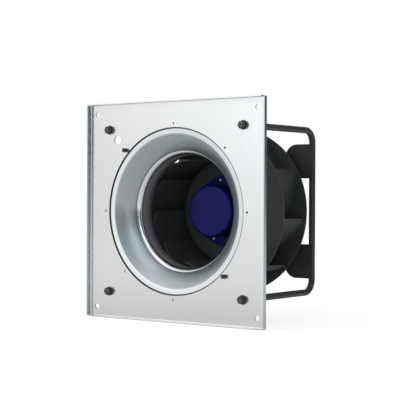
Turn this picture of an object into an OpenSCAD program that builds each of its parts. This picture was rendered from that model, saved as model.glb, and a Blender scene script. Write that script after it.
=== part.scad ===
// Plug fan: a folded wall plate with a bell-mouth nozzle, a backward-curved impeller on an
// external-rotor motor, and two bent round-bar hoops that carry the motor behind the plate.
// Origin on the fan axis at the back face of the plate, +Y towards the motor, +Z up.

/* [Wall plate] */
// Outer width and height of the folded plate
plate_size = 402; // [396:1:430]
// Sheet thickness of the plate
plate_sheet = 2; // [1.5:0.5:3]
// Depth of the folded rim, measured from the back face
rim_depth = 11; // [10:0.5:16]
// Inner radius of the rim fold
rim_bend = 5; // [3:0.5:5]
// Distance of the corner holes from the outer edge
corner_inset = 19.5; // [18:0.5:22]
// Diameter of the corner holes
corner_hole_d = 10; // [8:0.5:11]
// Diameter of the cable hole
cable_hole_d = 16; // [12:0.5:17]

/* [Inlet nozzle] */
// Diameter of the opening cut in the plate
cutout_d = 305; // [298:1:308]
// Sheet thickness of the nozzle
nozzle_sheet = 1.5; // [1:0.25:2]
// Radius of the trumpet between the lip and the crease
trumpet_radius = 110; // [100:1:114]
// Radius of the rolled throat behind the crease
throat_radius = 16; // [14:1:18]
// Depth of the nozzle behind the plate
nozzle_depth = 66; // [64:1:70]

/* [Impeller] */
// Outer diameter of the impeller
impeller_d = 315; // [308:1:320]
// Free width of the outlet between shroud and back plate
outlet_width = 74; // [70:1:78]
// Radial running gap between the nozzle and the shroud collar
inlet_gap = 2.1; // [1.5:0.1:3]
// Thickness of a blade
blade_sheet = 3; // [2:0.5:4]
// Blade angle at the leading edge
blade_in_angle = 14; // [12:1:17]
// Blade angle at the tip
blade_out_angle = 26; // [24:1:30]

/* [Motor] */
// Diameter of the rotor cup
rotor_d = 100; // [98:1:103]
// Length of the rotor cup in front of its flange
rotor_length = 51; // [50:1:54]
// Diameter of the shaft
shaft_d = 12; // [11:0.5:13]

/* [Hoops and carrier] */
// Diameter of the round bar
bar_d = 12; // [10:0.5:13]
// Distance of the hoop studs from the outer edge of the plate
stud_inset = 49.5; // [47:0.5:52]
// Centreline radius of the hoop bends
hoop_bend = 24; // [20:1:30]
// Free depth between the impeller and the hoops
hoop_gap = 22; // [20:1:30]
// Sheet thickness of the motor carrier
carrier_sheet = 3; // [2:0.5:4]

/* [Hidden] */
$fn = 96;

// Colours as seen on the object
zinc = "lightsteelblue";
black_steel = "#26282a";
black_plastic = "#2c3438";
rotor_blue = "#1c1a70";
cast_alloy = "silver";

// Clearances
// Radial clearance of a screw in its tapped hole
thread_clear = 0.05;
// Radial clearance of a screw in a through hole
hole_clear = 0.25;
// Radial clearance of a bearing ball in its grooves
ball_clear = 0.05;
// Thread showing past a nut, and floor left under a blind hole
thread_end = 1;
blind_floor = 1;
// Overlap that keeps cutters clear of the faces they cut
cut = 1;
// Largest turn between two points of a bent sheet profile, in degrees
bend_step = 3;

// Plate, derived
fold_r = rim_bend + plate_sheet;
plate_flat = plate_size - 2 * fold_r;
// Slit between neighbouring rims, and the shortfall of the side rims at the corners
rim_slit = 2;
rim_short = 1.5;
corner_pitch = plate_size - 2 * corner_inset;
stud_pitch = plate_size - 2 * stud_inset;

// Nozzle, derived: a flat flange behind the plate, a lip, a trumpet, a crease and a throat
flange_lap = 16.5;
nozzle_flange_d = cutout_d + 2 * flange_lap;
hole_margin = 7;
nozzle_pcd = cutout_d + 2 * hole_margin;
nozzle_hole_count = 8;
nozzle_screw_angles = [135, 315];
nozzle_screw_d = 4;
nozzle_nut_af = 7;
nozzle_nut_h = 3.2;
nozzle_head_d = 8;
nozzle_head_h = 6.5;
lip_width = 11.5;
lip_bend = 8;
crease_bend = 1.5;
trumpet_in_angle = 36;
trumpet_out_angle = 54;
throat_in_angle = 30;
throat_out_angle = 93;
nozzle_start = [nozzle_flange_d / 2, 0];
nozzle_bell = [
    [0, flange_lap + lip_width],
    [lip_bend, trumpet_in_angle],
    [trumpet_radius, trumpet_out_angle],
    [crease_bend, throat_in_angle],
    [throat_radius, throat_out_angle]
];
bell_end = path_end(nozzle_start, 0, nozzle_bell);
throat_length = (nozzle_depth - bell_end[1]) / sin(throat_out_angle);
nozzle_path = concat(nozzle_bell, [[0, throat_length]]);
nozzle_end = path_end(nozzle_start, 0, nozzle_path);

// Impeller, derived
impeller_r = impeller_d / 2;
shroud_sheet = 2.5;
collar_lap = 6;
collar_length = 6;
collar_r = nozzle_end[0] + nozzle_sheet + inlet_gap;
collar_y = nozzle_depth - collar_lap;
shroud_depth = 58;
shroud_rim_y = nozzle_depth + shroud_depth;
shroud_rise = impeller_r - collar_r;
shroud_run = shroud_rim_y - collar_y - collar_length;
shroud_turn = 2 * atan(shroud_rise / shroud_run);
shroud_radius = shroud_run / sin(shroud_turn);
shroud_path = [[0, collar_length], [shroud_radius, 90 + shroud_turn]];
back_sheet = 3;
back_y = shroud_rim_y + outlet_width;
hub_r = 94;
dish_depth = 34;
dish_bend = 8;
dish_angle = 65;
dish_length = (dish_depth - 2 * dish_bend * (1 - cos(dish_angle))) / sin(dish_angle);
dish_r = hub_r + 2 * dish_bend * sin(dish_angle) + dish_length * cos(dish_angle);
back_flat = impeller_r - dish_r;
hub_y = back_y - dish_depth;
hub_clear = 2;
hub_bore_d = rotor_d + 2 * hub_clear;
dish_path = [[0, back_flat], [dish_bend, -dish_angle], [0, dish_length], [dish_bend, 0]];
dish_end = path_end([impeller_r, back_y], 0, dish_path);
back_path = concat(dish_path, [[0, dish_end[0] - hub_bore_d / 2]]);
blade_count = 10;
blade_tip_angle = 29.8;
blade_inset = 4.5;
blade_tip_r = impeller_r - blade_inset;
blade_root_r = hub_r + dish_bend / 2;
blade_gap = 2;
blade_front_y = nozzle_depth + blade_gap;
camber_r = (pow(blade_tip_r, 2) - pow(blade_root_r, 2))
    / (2 * (blade_tip_r * cos(blade_out_angle) - blade_root_r * cos(blade_in_angle)));
camber_centre = sqrt(pow(camber_r, 2) + pow(blade_tip_r, 2)
    - 2 * camber_r * blade_tip_r * cos(blade_out_angle));
camber_turn = acos((pow(camber_centre, 2) + pow(blade_tip_r, 2) - pow(camber_r, 2))
    / (2 * camber_centre * blade_tip_r));

// Rotor, derived
rotor_r = rotor_d / 2;
rotor_wall = 4;
rotor_rim = 6;
rotor_flange_d = 136;
rotor_flange_t = 3;
rotor_flange_y = hub_y - rotor_flange_t;
rotor_face_y = rotor_flange_y - rotor_length;
rotor_floor_y = rotor_face_y + rotor_wall;
rotor_screw_count = 5;
rotor_screw_angle = 100.5;
rotor_screw_r = 60;
rotor_screw_d = 4;
rotor_head_d = 6.5;
rotor_head_h = 2.6;
rotor_boss_d = 12;
rotor_boss_h = 8;
magnet_count = 8;
magnet_gap = 0.8;
magnet_t = 4;
magnet_slot = 2.5;
magnet_over = 1;

// Bearings and bearing tube, derived
bearing_w = 8;
bearing_depth = 8;
bearing_d = shaft_d + 2 * bearing_depth;
race_t = 3;
ball_r = 1.9;
ball_count = 9;
ball_ring_r = (shaft_d + bearing_d) / 4;
tube_wall = 5;
tube_r = bearing_d / 2 + tube_wall;
tube_shoulder = 2;
hub_boss_h = 9;
front_bearing_y = rotor_floor_y + hub_boss_h;
tube_lip = 1;
tube_front_y = front_bearing_y - tube_lip;
ring_t = 1.2;
ring_groove = 0.8;

// Stator, derived
core_length = 28;
core_offset = 5;
core_y = front_bearing_y + core_offset;
core_r = rotor_r - rotor_wall - magnet_t - magnet_gap;
slot_count = 12;
slot_d = 7;
slot_mouth = 2.5;
slot_depth = 8;
slot_r = core_r - slot_depth;
winding_h = 8;
winding_inset = 3;
winding_in_r = tube_r + winding_inset;
winding_out_r = core_r - winding_inset;

// Hoops and carrier, derived
bar_r = bar_d / 2;
stud_d = 8;
stud_length = 12.5;
washer_d = 17;
washer_t = 1.6;
nut_af = 13;
nut_h = 6.5;
hoop_y = back_y + back_sheet + hoop_gap + bar_r;
carrier_y = hoop_y - bar_r - carrier_sheet;
carrier_hub_r = 104;
arm_gap = 1.2;
arm_top = stud_pitch / 2 - hoop_bend - arm_gap;
arm_bottom = 62;
arm_end = stud_pitch / 2 + bar_r;
arm_reach = 35;
arm_corner = 25;
arm_corner_x = arm_end - arm_reach;
arm_slope = 60;
arm_root_x = 58;
arm_notch_x = carrier_hub_r - 2;
carrier_bolt_count = 4;
carrier_bolt_angle = 45;
carrier_bolt_r = 84;
carrier_bolt_d = 6;
carrier_head_af = 10;
carrier_head_h = 4;

// Motor housing, derived
drum_gap = 2;
drum_front_y = hub_y + back_sheet + rotor_boss_h + drum_gap;
drum_wall = 4;
base_end_y = drum_front_y + drum_wall;
rear_drum_r = 69;
rear_drum_length = 42;
rear_drum_y = carrier_y + rear_drum_length;
rear_wall = 9.5;
bay_r = rear_drum_r - rear_wall;
board_ledge = 3.5;
ledge_r = bay_r - board_ledge;
drum_skin = 8;
drum_r = ledge_r + drum_skin;
drum_clear = 1;
flange_r = 95;
flange_t = 8;
base_screw_count = 4;
base_screw_angle = 45;
base_screw_r = drum_r - drum_skin / 2;
base_screw_d = 4;
base_screw_length = 12;
base_head_d = 7;
base_head_h = 2;
rear_bearing_y = base_end_y - bearing_w - tube_lip;
shaft_tail = 6;
shaft_end_y = rear_bearing_y + bearing_w + shaft_tail;
board_depth = 24;
board_y = drum_front_y + board_depth;
board_t = 1.6;
seal_t = 1;
cover_t = 4;
fin_h = 8;
fin_t = 3;
fin_pitch = 11;
fin_gap = 1;
fin_count = 9;
cover_screw_count = 4;
cover_screw_angle = 45;
cover_screw_d = 4;
cover_screw_r = (rear_drum_r + bay_r) / 2;
cover_head_d = 7;
cover_head_h = 2.6;
cover_screw_length = 12;
gland_offset = 14;
gland_y = carrier_y + carrier_sheet + gland_offset;
gland_boss_d = 24;
gland_boss_h = 1;
gland_thread_d = 16;
gland_bore_d = 8;
gland_hex_af = 20;
gland_hex_h = 6;
gland_cap_d = 18;
gland_cap_h = 14;

// Cable hole on the diagonal, midway between the nozzle screws and the hoop studs
cable_hole_r = (stud_pitch / sqrt(2) + nozzle_pcd / 2) / 2;
cable_hole_angle = 135;

// Travel along a sheet profile in the radius and depth plane: 0 runs inwards, 90 backwards
function heading(angle) = [-cos(angle), sin(angle)];

// Direction from the flow side of the sheet to its other side
function sheet_side(angle) = [sin(angle), cos(angle)];

// A leg is [0, length] for a straight run, or [radius, heading at its end] for a bend
function leg_angle(angle, leg) = leg[0] == 0 ? angle : leg[1];

// Centre of a bend, on the sheet side where the heading grows and on the flow side where it falls
function bend_centre(at, angle, leg) =
    at + (leg[1] > angle ? 1 : -1) * leg[0] * sheet_side(angle);

function leg_end(at, angle, leg) =
    leg[0] == 0
        ? at + leg[1] * heading(angle)
        : bend_centre(at, angle, leg) - (leg[1] > angle ? 1 : -1) * leg[0] * sheet_side(leg[1]);

function path_end(at, angle, legs, i = 0) =
    i == len(legs)
        ? at
        : path_end(leg_end(at, angle, legs[i]), leg_angle(angle, legs[i]), legs, i + 1);

// Even steps along a bend
function bend_steps(angle, leg) = ceil(abs(leg[1] - angle) / bend_step);

// Points of one leg, on the flow side or offset from it through the sheet
function leg_points(at, angle, leg, offset) =
    leg[0] == 0
        ? [at + offset * sheet_side(angle)]
        : [
            for (k = [0:bend_steps(angle, leg) - 1])
                let (a = angle + (leg[1] - angle) * k / bend_steps(angle, leg))
                bend_centre(at, angle, leg)
                    + (offset - (leg[1] > angle ? 1 : -1) * leg[0]) * sheet_side(a)
        ];

function path_points(at, angle, legs, offset, i = 0) =
    i == len(legs)
        ? [at + offset * sheet_side(angle)]
        : concat(
            leg_points(at, angle, legs[i], offset),
            path_points(leg_end(at, angle, legs[i]), leg_angle(angle, legs[i]), legs, offset, i + 1)
        );

// Whole sheet profile: out along its far side and back along its flow side
module sheet_profile(at, angle, legs, sheet) {
    flow = path_points(at, angle, legs, 0);
    far = path_points(at, angle, legs, sheet);
    polygon(concat(far, [for (i = [len(flow) - 1:-1:0]) flow[i]]));
}

// Turns a profile drawn as [radius, depth] about the fan axis
module turned() {
    rotate([-90, 0, 0]) rotate_extrude() children();
}

// Sheet drawn as seen from the front, with its rear face at the given depth
module facing(rear_y, thickness) {
    translate([0, rear_y, 0]) rotate([90, 0, 0]) linear_extrude(thickness) children();
}

// Round or six-sided bar along Y between two depths
module bar(d, from, to) {
    translate([0, from, 0]) rotate([-90, 0, 0]) cylinder(d = d, h = to - from);
}

module hex_bar(flats, from, to) {
    translate([0, from, 0]) rotate([-90, 0, 0]) cylinder(d = flats / cos(30), h = to - from, $fn = 6);
}

// Tube along Y, as a turned rectangle
module ring(inner_r, outer_r, from, to) {
    turned() translate([inner_r, from]) square([outer_r - inner_r, to - from]);
}

// Repeats a child at four corners of a square, or round the fan axis
module at_corners(pitch) {
    for (x = [-1, 1], z = [-1, 1]) translate([x * pitch / 2, 0, z * pitch / 2]) children();
}

module at_angles(angles, radius) {
    for (a = angles) rotate([0, -a, 0]) translate([radius, 0, 0]) children();
}

function spaced(count, start = 0) = [for (i = [0:count - 1]) start + i * 360 / count];

// Folded rim along one side of the plate, on the right before it is turned
module rim(length) {
    translate([plate_flat / 2, 0, -length / 2]) linear_extrude(length) {
        intersection() {
            translate([0, -fold_r]) difference() {
                circle(fold_r);
                circle(rim_bend);
            }
            translate([0, -fold_r]) square(fold_r);
        }
        translate([rim_bend, -rim_depth]) square([plate_sheet, rim_depth - fold_r]);
    }
}

module nozzle_plate() {
    color(zinc) difference() {
        union() {
            translate([-plate_flat / 2, -plate_sheet, -plate_flat / 2])
                cube([plate_flat, plate_sheet, plate_flat]);
            for (a = [0, 180]) rotate([0, a, 0]) rim(plate_size - 2 * rim_short);
            for (a = [90, 270]) rotate([0, a, 0]) rim(plate_flat - 2 * rim_slit);
        }
        bar(cutout_d, -plate_sheet - cut, cut);
        at_corners(corner_pitch) bar(corner_hole_d, -plate_sheet - cut, cut);
        at_corners(stud_pitch) bar(stud_d + 2 * hole_clear, -plate_sheet - cut, cut);
        at_angles(spaced(nozzle_hole_count), nozzle_pcd / 2)
            bar(nozzle_screw_d + 2 * hole_clear, -plate_sheet - cut, cut);
        at_angles([cable_hole_angle], cable_hole_r) bar(cable_hole_d, -plate_sheet - cut, cut);
    }
}

module inlet_nozzle() {
    color(zinc) difference() {
        turned() sheet_profile(nozzle_start, 0, nozzle_path, nozzle_sheet);
        at_angles(spaced(nozzle_hole_count), nozzle_pcd / 2)
            bar(nozzle_screw_d + 2 * hole_clear, -cut, nozzle_sheet + cut);
    }
}

module nozzle_screws() {
    color(black_steel) at_angles(nozzle_screw_angles, nozzle_pcd / 2) {
        bar(nozzle_head_d, -plate_sheet - nozzle_head_h, -plate_sheet);
        bar(nozzle_screw_d, -plate_sheet, nozzle_sheet + nozzle_nut_h + thread_end);
    }
}

module nozzle_nuts() {
    color(black_steel) at_angles(nozzle_screw_angles, nozzle_pcd / 2) difference() {
        hex_bar(nozzle_nut_af, nozzle_sheet, nozzle_sheet + nozzle_nut_h);
        bar(nozzle_screw_d + 2 * thread_clear, 0, nozzle_sheet + nozzle_nut_h + cut);
    }
}

// Leg of a hoop with its shoulder on the plate and its stud through it
module hoop_leg() {
    bar(bar_d, 0, hoop_y - hoop_bend);
    bar(stud_d, -stud_length, 0);
}

module hoop_corner() {
    translate([0, hoop_y - hoop_bend, -hoop_bend]) rotate([0, -90, 0])
        rotate_extrude(angle = 90) translate([hoop_bend, 0]) circle(bar_r);
}

// Bent round bar in one upright plane
module hoop(side) {
    translate([side * stud_pitch / 2, 0, 0]) {
        for (end = [0, 1]) mirror([0, 0, end]) translate([0, 0, stud_pitch / 2]) {
            hoop_leg();
            hoop_corner();
        }
        translate([0, hoop_y, hoop_bend - stud_pitch / 2])
            cylinder(d = bar_d, h = stud_pitch - 2 * hoop_bend);
    }
}

module left_hoop() {
    color(black_steel) hoop(-1);
}

module right_hoop() {
    color(black_steel) hoop(1);
}

module hoop_washers() {
    color(black_steel) at_corners(stud_pitch) difference() {
        bar(washer_d, -plate_sheet - washer_t, -plate_sheet);
        bar(stud_d + 2 * hole_clear, -plate_sheet - washer_t - cut, 0);
    }
}

module hoop_nuts() {
    nut_y = -plate_sheet - washer_t;
    color(black_steel) at_corners(stud_pitch) difference() {
        hex_bar(nut_af, nut_y - nut_h, nut_y);
        bar(stud_d + 2 * thread_clear, nut_y - nut_h - cut, nut_y + cut);
    }
}

// Upper right arm of the carrier, widening to a straight edge along the bar
module carrier_arm() {
    corner = [arm_corner_x, arm_top - arm_corner];
    shoulder = corner + arm_corner * [-sin(arm_slope), cos(arm_slope)];
    drop = shoulder[1] / 2;
    translate([arm_corner_x, arm_bottom]) square([arm_end - arm_corner_x, arm_top - arm_bottom]);
    translate(corner) circle(arm_corner);
    polygon([
        [arm_corner_x, arm_bottom], corner, shoulder,
        shoulder - drop * [cos(arm_slope), sin(arm_slope)], [arm_root_x, arm_bottom / 2],
        [arm_notch_x, arm_bottom]
    ]);
}

module motor_carrier() {
    color(black_steel) difference() {
        facing(carrier_y + carrier_sheet, carrier_sheet) {
            circle(carrier_hub_r);
            for (x = [0, 1], z = [0, 1]) mirror([x, 0]) mirror([0, z]) carrier_arm();
        }
        bar(2 * rear_drum_r + 2 * drum_clear, carrier_y - cut, carrier_y + carrier_sheet + cut);
        at_angles(spaced(carrier_bolt_count, carrier_bolt_angle), carrier_bolt_r)
            bar(carrier_bolt_d + 2 * hole_clear, carrier_y - cut, carrier_y + carrier_sheet + cut);
    }
}

module carrier_bolts() {
    head_y = carrier_y + carrier_sheet;
    color("silver") at_angles(spaced(carrier_bolt_count, carrier_bolt_angle), carrier_bolt_r) {
        bar(carrier_bolt_d, carrier_y - flange_t, head_y);
        hex_bar(carrier_head_af, head_y, head_y + carrier_head_h);
    }
}

// Die-cast housing ring: drum for the electronics, flange on the carrier and boss for the cable
module motor_housing() {
    color(cast_alloy) difference() {
        union() {
            ring(ledge_r, drum_r, base_end_y, carrier_y);
            ring(ledge_r, flange_r, carrier_y - flange_t, carrier_y);
            ring(ledge_r, rear_drum_r, carrier_y - flange_t, rear_drum_y);
            translate([0, gland_y, -rear_drum_r - gland_boss_h])
                cylinder(d = gland_boss_d, h = drum_skin);
        }
        ring(0, bay_r, board_y, rear_drum_y + cut);
        at_angles(spaced(base_screw_count, base_screw_angle), base_screw_r)
            bar(base_screw_d + 2 * thread_clear, base_end_y - cut, drum_front_y + base_screw_length);
        at_angles(spaced(carrier_bolt_count, carrier_bolt_angle), carrier_bolt_r)
            bar(carrier_bolt_d + 2 * thread_clear, carrier_y - flange_t - cut, carrier_y + cut);
        at_angles(spaced(cover_screw_count, cover_screw_angle), cover_screw_r)
            bar(cover_screw_d + 2 * thread_clear, rear_drum_y - cover_screw_length, rear_drum_y + cut);
        translate([0, gland_y, -rear_drum_r - gland_boss_h - cut])
            cylinder(d = gland_thread_d, h = rear_drum_r);
    }
}

// Bearing tube on a round base that closes the front of the housing
module bearing_tube() {
    color(cast_alloy) difference() {
        union() {
            ring(0, tube_r, tube_front_y, base_end_y);
            ring(0, drum_r, drum_front_y, base_end_y);
        }
        bar(bearing_d, front_bearing_y - 2 * cut, front_bearing_y + bearing_w);
        bar(bearing_d - 2 * tube_shoulder, front_bearing_y, rear_bearing_y + bearing_w);
        bar(bearing_d, rear_bearing_y, base_end_y + cut);
        at_angles(spaced(base_screw_count, base_screw_angle), base_screw_r) {
            bar(base_screw_d + 2 * hole_clear, drum_front_y - cut, base_end_y + cut);
            bar(base_head_d + 2 * hole_clear, drum_front_y - cut, drum_front_y + base_head_h);
        }
    }
}

// Screws with flush heads that hold the bearing tube to the housing
module base_screws() {
    color("silver") at_angles(spaced(base_screw_count, base_screw_angle), base_screw_r) {
        bar(base_head_d, drum_front_y, drum_front_y + base_head_h);
        bar(base_screw_d, drum_front_y + base_head_h, drum_front_y + base_screw_length - blind_floor);
    }
}

module stator_core() {
    color("dimgray") difference() {
        ring(tube_r, core_r, core_y, core_y + core_length);
        at_angles(spaced(slot_count), slot_r) {
            bar(slot_d, core_y - cut, core_y + core_length + cut);
            translate([0, core_y - cut, -slot_mouth / 2])
                cube([core_r, core_length + 2 * cut, slot_mouth]);
        }
    }
}

module stator_windings() {
    color("peru") for (y = [core_y - winding_h, core_y + core_length])
        ring(winding_in_r, winding_out_r, y, y + winding_h);
}

// Bearing race as a turned rectangle with the ball groove cut out of it
module race(inner_r, from) {
    turned() difference() {
        translate([inner_r, from]) square([race_t, bearing_w]);
        translate([ball_ring_r, from + bearing_w / 2]) circle(ball_r + ball_clear);
    }
}

module front_bearing_outer() {
    color("silver") race(bearing_d / 2 - race_t, front_bearing_y);
}

module rear_bearing_outer() {
    color("silver") race(bearing_d / 2 - race_t, rear_bearing_y);
}

module front_bearing_inner() {
    color("silver") race(shaft_d / 2, front_bearing_y);
}

module rear_bearing_inner() {
    color("silver") race(shaft_d / 2, rear_bearing_y);
}

module bearing_balls() {
    color("silver") for (y = [front_bearing_y, rear_bearing_y])
        at_angles(spaced(ball_count), ball_ring_r) translate([0, y + bearing_w / 2, 0]) sphere(ball_r);
}

module circuit_board() {
    color("seagreen") ring(0, bay_r, board_y, board_y + board_t);
}

module cover_seal() {
    color(black_plastic) difference() {
        ring(bay_r, rear_drum_r, rear_drum_y, rear_drum_y + seal_t);
        at_angles(spaced(cover_screw_count, cover_screw_angle), cover_screw_r)
            bar(cover_screw_d + 2 * hole_clear, rear_drum_y - cut, rear_drum_y + seal_t + cut);
    }
}

// Cover with upright cooling fins between the screws
module rear_cover() {
    cover_y = rear_drum_y + seal_t;
    fin_r = cover_screw_r - cover_head_d / 2 - fin_gap;
    color(cast_alloy) difference() {
        union() {
            ring(0, rear_drum_r, cover_y, cover_y + cover_t);
            intersection() {
                ring(0, fin_r, cover_y + cover_t, cover_y + cover_t + fin_h);
                for (i = [0:fin_count - 1])
                    translate([(i - (fin_count - 1) / 2) * fin_pitch - fin_t / 2, cover_y, -fin_r])
                        cube([fin_t, cover_t + fin_h, 2 * fin_r]);
            }
        }
        at_angles(spaced(cover_screw_count, cover_screw_angle), cover_screw_r)
            bar(cover_screw_d + 2 * hole_clear, cover_y - cut, cover_y + cover_t + cut);
    }
}

module cover_screws() {
    head_y = rear_drum_y + seal_t + cover_t;
    color("silver") at_angles(spaced(cover_screw_count, cover_screw_angle), cover_screw_r) {
        bar(cover_screw_d, rear_drum_y - cover_screw_length + blind_floor, head_y);
        bar(cover_head_d, head_y, head_y + cover_head_h);
    }
}

// Cable entry under the housing: thread in the wall, six-sided body and domed cap
module cable_gland() {
    hex_from = rear_drum_r + gland_boss_h;
    wall = hex_from - bay_r;
    color(black_plastic) translate([0, gland_y, 0]) rotate([180, 0, 0]) difference() {
        union() {
            translate([0, 0, hex_from - wall])
                cylinder(d = gland_thread_d - 2 * thread_clear, h = wall + cut);
            translate([0, 0, hex_from]) cylinder(d = gland_hex_af / cos(30), h = gland_hex_h, $fn = 6);
            translate([0, 0, hex_from + gland_hex_h]) cylinder(d = gland_cap_d, h = gland_cap_h);
        }
        translate([0, 0, hex_from - wall - cut])
            cylinder(d = gland_bore_d, h = wall + gland_hex_h + gland_cap_h + 2 * cut);
    }
}

// Closed cup with a rounded front rim, a flange at its open end and a hub for the shaft
module rotor_cup() {
    color(rotor_blue) difference() {
        union() {
            turned() {
                translate([0, rotor_face_y]) square([rotor_r - rotor_rim, rotor_wall]);
                translate([rotor_r - rotor_rim, rotor_face_y + rotor_rim]) intersection() {
                    circle(rotor_rim);
                    translate([0, -rotor_rim]) square(rotor_rim);
                }
                translate([rotor_r - rotor_wall, rotor_face_y + rotor_rim])
                    square([rotor_wall, rotor_length + rotor_flange_t - rotor_rim]);
                translate([rotor_r - rotor_wall, rotor_flange_y])
                    square([rotor_flange_d / 2 - rotor_r + rotor_wall, rotor_flange_t]);
            }
            ring(0, shaft_d / 2 + race_t, rotor_face_y, front_bearing_y);
        }
        ring(0, shaft_d / 2, rotor_floor_y, front_bearing_y + cut);
        at_angles(spaced(rotor_screw_count, rotor_screw_angle), rotor_screw_r)
            bar(rotor_screw_d + 2 * hole_clear, rotor_flange_y - cut, hub_y + cut);
    }
}

module rotor_magnets() {
    outer_r = rotor_r - rotor_wall;
    from = core_y - magnet_over;
    length = core_length + 2 * magnet_over;
    color("darkslategray") difference() {
        ring(outer_r - magnet_t, outer_r, from, from + length);
        at_angles(spaced(magnet_count), outer_r - magnet_t - cut)
            translate([0, from - cut, -magnet_slot / 2])
                cube([magnet_t + 2 * cut, length + 2 * cut, magnet_slot]);
    }
}

module shaft() {
    ring_y = rear_bearing_y + bearing_w;
    color("silver") difference() {
        bar(shaft_d, rotor_floor_y, shaft_end_y);
        ring(shaft_d / 2 - ring_groove, shaft_d, ring_y, ring_y + ring_t);
    }
}

module retaining_ring() {
    ring_y = rear_bearing_y + bearing_w;
    color("gray") ring(shaft_d / 2 - ring_groove, shaft_d / 2 + race_t, ring_y, ring_y + ring_t);
}

module rotor_screws() {
    color("silver") at_angles(spaced(rotor_screw_count, rotor_screw_angle), rotor_screw_r) {
        bar(rotor_head_d, rotor_flange_y - rotor_head_h, rotor_flange_y);
        bar(rotor_screw_d, rotor_flange_y, hub_y + rotor_boss_h - blind_floor);
    }
}

// Back plate dished forward to the rotor flange, with a tapped boss behind each screw
module impeller_backplate() {
    color(black_plastic) difference() {
        union() {
            turned() sheet_profile([impeller_r, back_y], 0, back_path, back_sheet);
            at_angles(spaced(rotor_screw_count, rotor_screw_angle), rotor_screw_r)
                bar(rotor_boss_d, hub_y, hub_y + rotor_boss_h);
        }
        at_angles(spaced(rotor_screw_count, rotor_screw_angle), rotor_screw_r)
            bar(rotor_screw_d + 2 * thread_clear, hub_y - cut, hub_y + rotor_boss_h - blind_floor);
    }
}

module impeller_shroud() {
    color(black_plastic) turned() sheet_profile([collar_r, collar_y], 90, shroud_path, shroud_sheet);
}

// Space between shroud and back plate that the blades fill, from their roots to their tips
module flow_space() {
    dish_line = path_points([impeller_r, back_y], 0, dish_path, 0);
    difference() {
        translate([blade_root_r, blade_front_y])
            square([blade_tip_r - blade_root_r, back_y - blade_front_y]);
        translate([collar_r + shroud_radius, collar_y + collar_length]) circle(shroud_radius);
        polygon(concat(dish_line, [[dish_end[0], back_y + cut], [impeller_r, back_y + cut]]));
    }
}

// Backward-curved blade: a circular-arc wall trimmed to the flow space
module blade(index) {
    half = camber_r + camber_centre;
    turn = blade_tip_angle + (index - 1) * 360 / blade_count + camber_turn;
    color(black_plastic) intersection() {
        facing(back_y, back_y - collar_y) rotate(turn) intersection() {
            translate([camber_centre, 0]) difference() {
                circle(camber_r + blade_sheet / 2);
                circle(camber_r - blade_sheet / 2);
            }
            translate([-half, -half]) square([2 * half, half]);
        }
        turned() flow_space();
    }
}

nozzle_plate();
inlet_nozzle();
nozzle_screws();
nozzle_nuts();
left_hoop();
right_hoop();
hoop_washers();
hoop_nuts();
motor_carrier();
carrier_bolts();
motor_housing();
bearing_tube();
base_screws();
stator_core();
stator_windings();
front_bearing_outer();
rear_bearing_outer();
bearing_balls();
circuit_board();
cover_seal();
rear_cover();
cover_screws();
cable_gland();
rotor_cup();
rotor_magnets();
shaft();
front_bearing_inner();
rear_bearing_inner();
retaining_ring();
rotor_screws();
impeller_backplate();
impeller_shroud();
blade(1);  // blade_1
blade(2);  // blade_2
blade(3);  // blade_3
blade(4);  // blade_4
blade(5);  // blade_5
blade(6);  // blade_6
blade(7);  // blade_7
blade(8);  // blade_8
blade(9);  // blade_9
blade(10);  // blade_10
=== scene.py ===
import math

import bmesh
import bpy
from mathutils import Matrix, Vector


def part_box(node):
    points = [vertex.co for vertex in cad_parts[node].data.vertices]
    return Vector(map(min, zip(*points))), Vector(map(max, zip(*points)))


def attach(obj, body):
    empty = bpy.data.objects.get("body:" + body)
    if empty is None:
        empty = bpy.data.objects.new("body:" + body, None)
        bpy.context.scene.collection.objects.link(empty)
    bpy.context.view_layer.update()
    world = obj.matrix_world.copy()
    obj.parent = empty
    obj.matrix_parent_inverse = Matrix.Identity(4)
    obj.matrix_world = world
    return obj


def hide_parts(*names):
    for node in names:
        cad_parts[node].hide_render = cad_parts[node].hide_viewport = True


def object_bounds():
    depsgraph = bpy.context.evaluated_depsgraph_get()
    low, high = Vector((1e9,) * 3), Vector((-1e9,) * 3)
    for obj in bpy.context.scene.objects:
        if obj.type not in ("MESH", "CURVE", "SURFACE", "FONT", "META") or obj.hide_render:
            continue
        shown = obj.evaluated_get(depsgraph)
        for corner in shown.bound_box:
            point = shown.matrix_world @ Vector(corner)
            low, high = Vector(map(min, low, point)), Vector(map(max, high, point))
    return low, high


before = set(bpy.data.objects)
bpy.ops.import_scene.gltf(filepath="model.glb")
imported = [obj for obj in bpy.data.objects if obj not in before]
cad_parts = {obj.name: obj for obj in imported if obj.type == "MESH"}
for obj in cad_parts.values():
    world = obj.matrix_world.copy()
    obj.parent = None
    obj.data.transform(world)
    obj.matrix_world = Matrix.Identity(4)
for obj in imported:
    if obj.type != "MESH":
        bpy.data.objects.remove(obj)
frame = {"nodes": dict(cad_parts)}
nodes = frame["nodes"]
cad_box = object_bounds()

MM = 0.001

# Plate: sheet, folded rims with slits at the corners, and holes
PLATE_SHEET = 2 * MM
SIDE_FOLD_R = 3.5 * MM
EDGE_FOLD_R = 1.5 * MM
RIM_SHORT = 1.5 * MM
RIM_SLIT = 2 * MM
CUTOUT_R = 152.5 * MM
STUD_HOLE_R = 4.25 * MM
CORNER_PITCH = 181.5 * MM
CORNER_HOLE_R = 5 * MM
CABLE_HOLE = (-132.14 * MM, 132.14 * MM)
CABLE_HOLE_R = 8 * MM

# Width over which a zone of a finish, or of painted shade, starts
ZONE_EDGE = 1 * MM
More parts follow.
